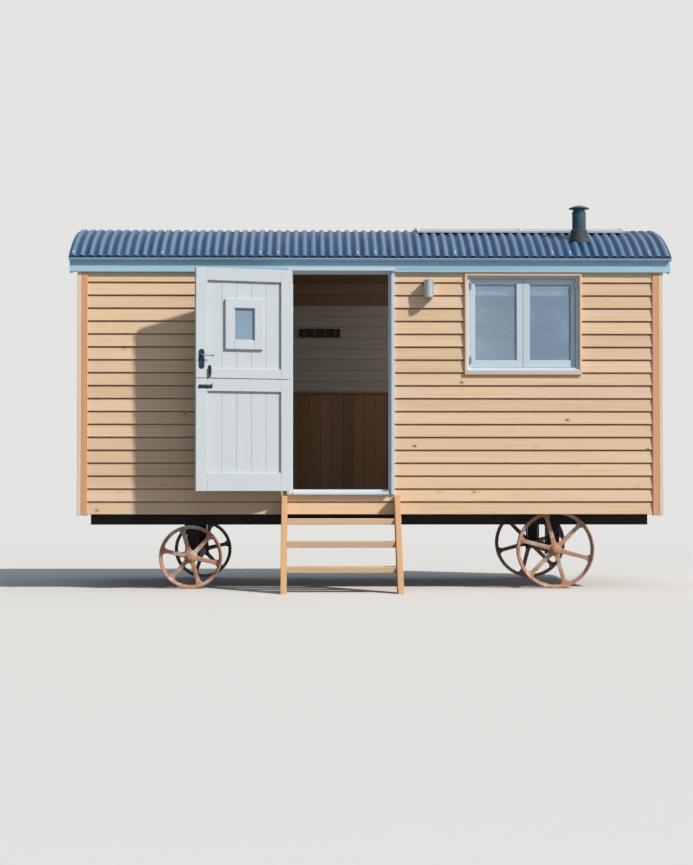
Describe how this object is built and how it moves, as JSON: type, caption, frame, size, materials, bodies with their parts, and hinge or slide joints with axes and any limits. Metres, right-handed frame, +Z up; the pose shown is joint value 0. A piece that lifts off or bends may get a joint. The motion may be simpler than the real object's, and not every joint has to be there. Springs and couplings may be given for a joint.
{
  "type": "shepherd's hut",
  "caption": "Boarded timber hut on cast spoked wheels with a barrel roof of corrugated sheet, a two-leaf stable door over timber steps and a casement window.",
  "frame": {"origin": "on the ground in the middle of the whole footprint, steps included", "axes": "+X along the hut to the right as seen from the door side, -Y the door side, +Z up"},
  "size_m": [5.1816, 3.205, 3.347],
  "materials": {
    "larch_boards": "oiled softwood boards",
    "oak_posts": "oiled",
    "frame_timber": "planed softwood",
    "pale_blue_paint": "eggshell paint",
    "slate_blue_sheet": "coated corrugated sheet",
    "panel_glass": "dark glossy face with a pale edge",
    "flue_steel": "matt dark paint",
    "boot_rubber": "matt",
    "lining_paint": "matt paint",
    "wainscot_wood": "waxed",
    "dark_iron": "satin black",
    "window_glass": "clear",
    "blind_cloth": "plain weave",
    "lamp_steel": "brushed",
    "chassis_steel": "satin black",
    "wheel_iron": "rust coloured primer, worn"
  },
  "bodies": {
    "hut": {"floor": "frame_timber", "corner_posts": "oak_posts", "front_wall_left": "lining_paint", "front_wall_middle": "lining_paint", "front_wall_right": "lining_paint", "front_wall_under_window": "lining_paint", "front_wall_over_window": "lining_paint", "back_wall": "lining_paint", "end_walls": "lining_paint", "front_boards": "larch_boards", "back_boards": "larch_boards", "end_boards": "larch_boards", "eave_beams": "frame_timber", "fascias": "pale_blue_paint", "bargeboards": "pale_blue_paint", "roof_deck": "frame_timber", "ceiling": "wainscot_wood", "roof_sheets": "slate_blue_sheet", "roof_panel": "panel_glass", "flue": "flue_steel", "flue_boot": "boot_rubber", "door_jambs": "pale_blue_paint", "door_head": "pale_blue_paint", "threshold": "pale_blue_paint", "door_hinge_pins": "dark_iron", "window_frame": "pale_blue_paint", "window_sashes": "pale_blue_paint", "window_glass": "window_glass", "window_trim": "larch_boards", "blind": "blind_cloth", "lamp": "lamp_steel", "step_stringers": "larch_boards", "step_treads": "larch_boards", "chassis_rails": "chassis_steel", "chassis_cross_members": "chassis_steel", "axles": "chassis_steel", "wainscot": "wainscot_wood", "hook_rail": "dark_iron"},
    "upper_door_leaf": {"upper_door": "pale_blue_paint", "upper_door_glass": "window_glass", "upper_door_ironwork": "dark_iron"},
    "lower_door_leaf": {"lower_door": "pale_blue_paint", "lower_door_ironwork": "dark_iron"},
    "front_left_wheel": {"front_left_wheel": "wheel_iron"},
    "back_left_wheel": {"back_left_wheel": "wheel_iron"},
    "front_right_wheel": {"front_right_wheel": "wheel_iron"},
    "back_right_wheel": {"back_right_wheel": "wheel_iron"}
  },
  "joints": [
    {"name": "upper_door_hinge", "type": "hinge", "parent": "hut", "child": "upper_door_leaf", "pos_m": [-0.688, -0.7965, 2.262], "axis": [0, 0, 1], "range_deg": [-10, 161.5]},
    {"name": "lower_door_hinge", "type": "hinge", "parent": "hut", "child": "lower_door_leaf", "pos_m": [-0.688, -0.7965, 1.3155], "axis": [0, 0, 1], "range_deg": [-10, 161.5]},
    {"name": "front_left_wheel_turn", "type": "hinge", "parent": "hut", "child": "front_left_wheel", "pos_m": [-1.55, -0.6575, 0.272], "axis": [0, 1, 0], "continuous": true},
    {"name": "back_left_wheel_turn", "type": "hinge", "parent": "hut", "child": "back_left_wheel", "pos_m": [-1.55, 1.4225, 0.272], "axis": [0, 1, 0], "continuous": true},
    {"name": "front_right_wheel_turn", "type": "hinge", "parent": "hut", "child": "front_right_wheel", "pos_m": [1.6, -0.6575, 0.335], "axis": [0, 1, 0], "continuous": true},
    {"name": "back_right_wheel_turn", "type": "hinge", "parent": "hut", "child": "back_right_wheel", "pos_m": [1.6, 1.4225, 0.335], "axis": [0, 1, 0], "continuous": true}
  ]
}
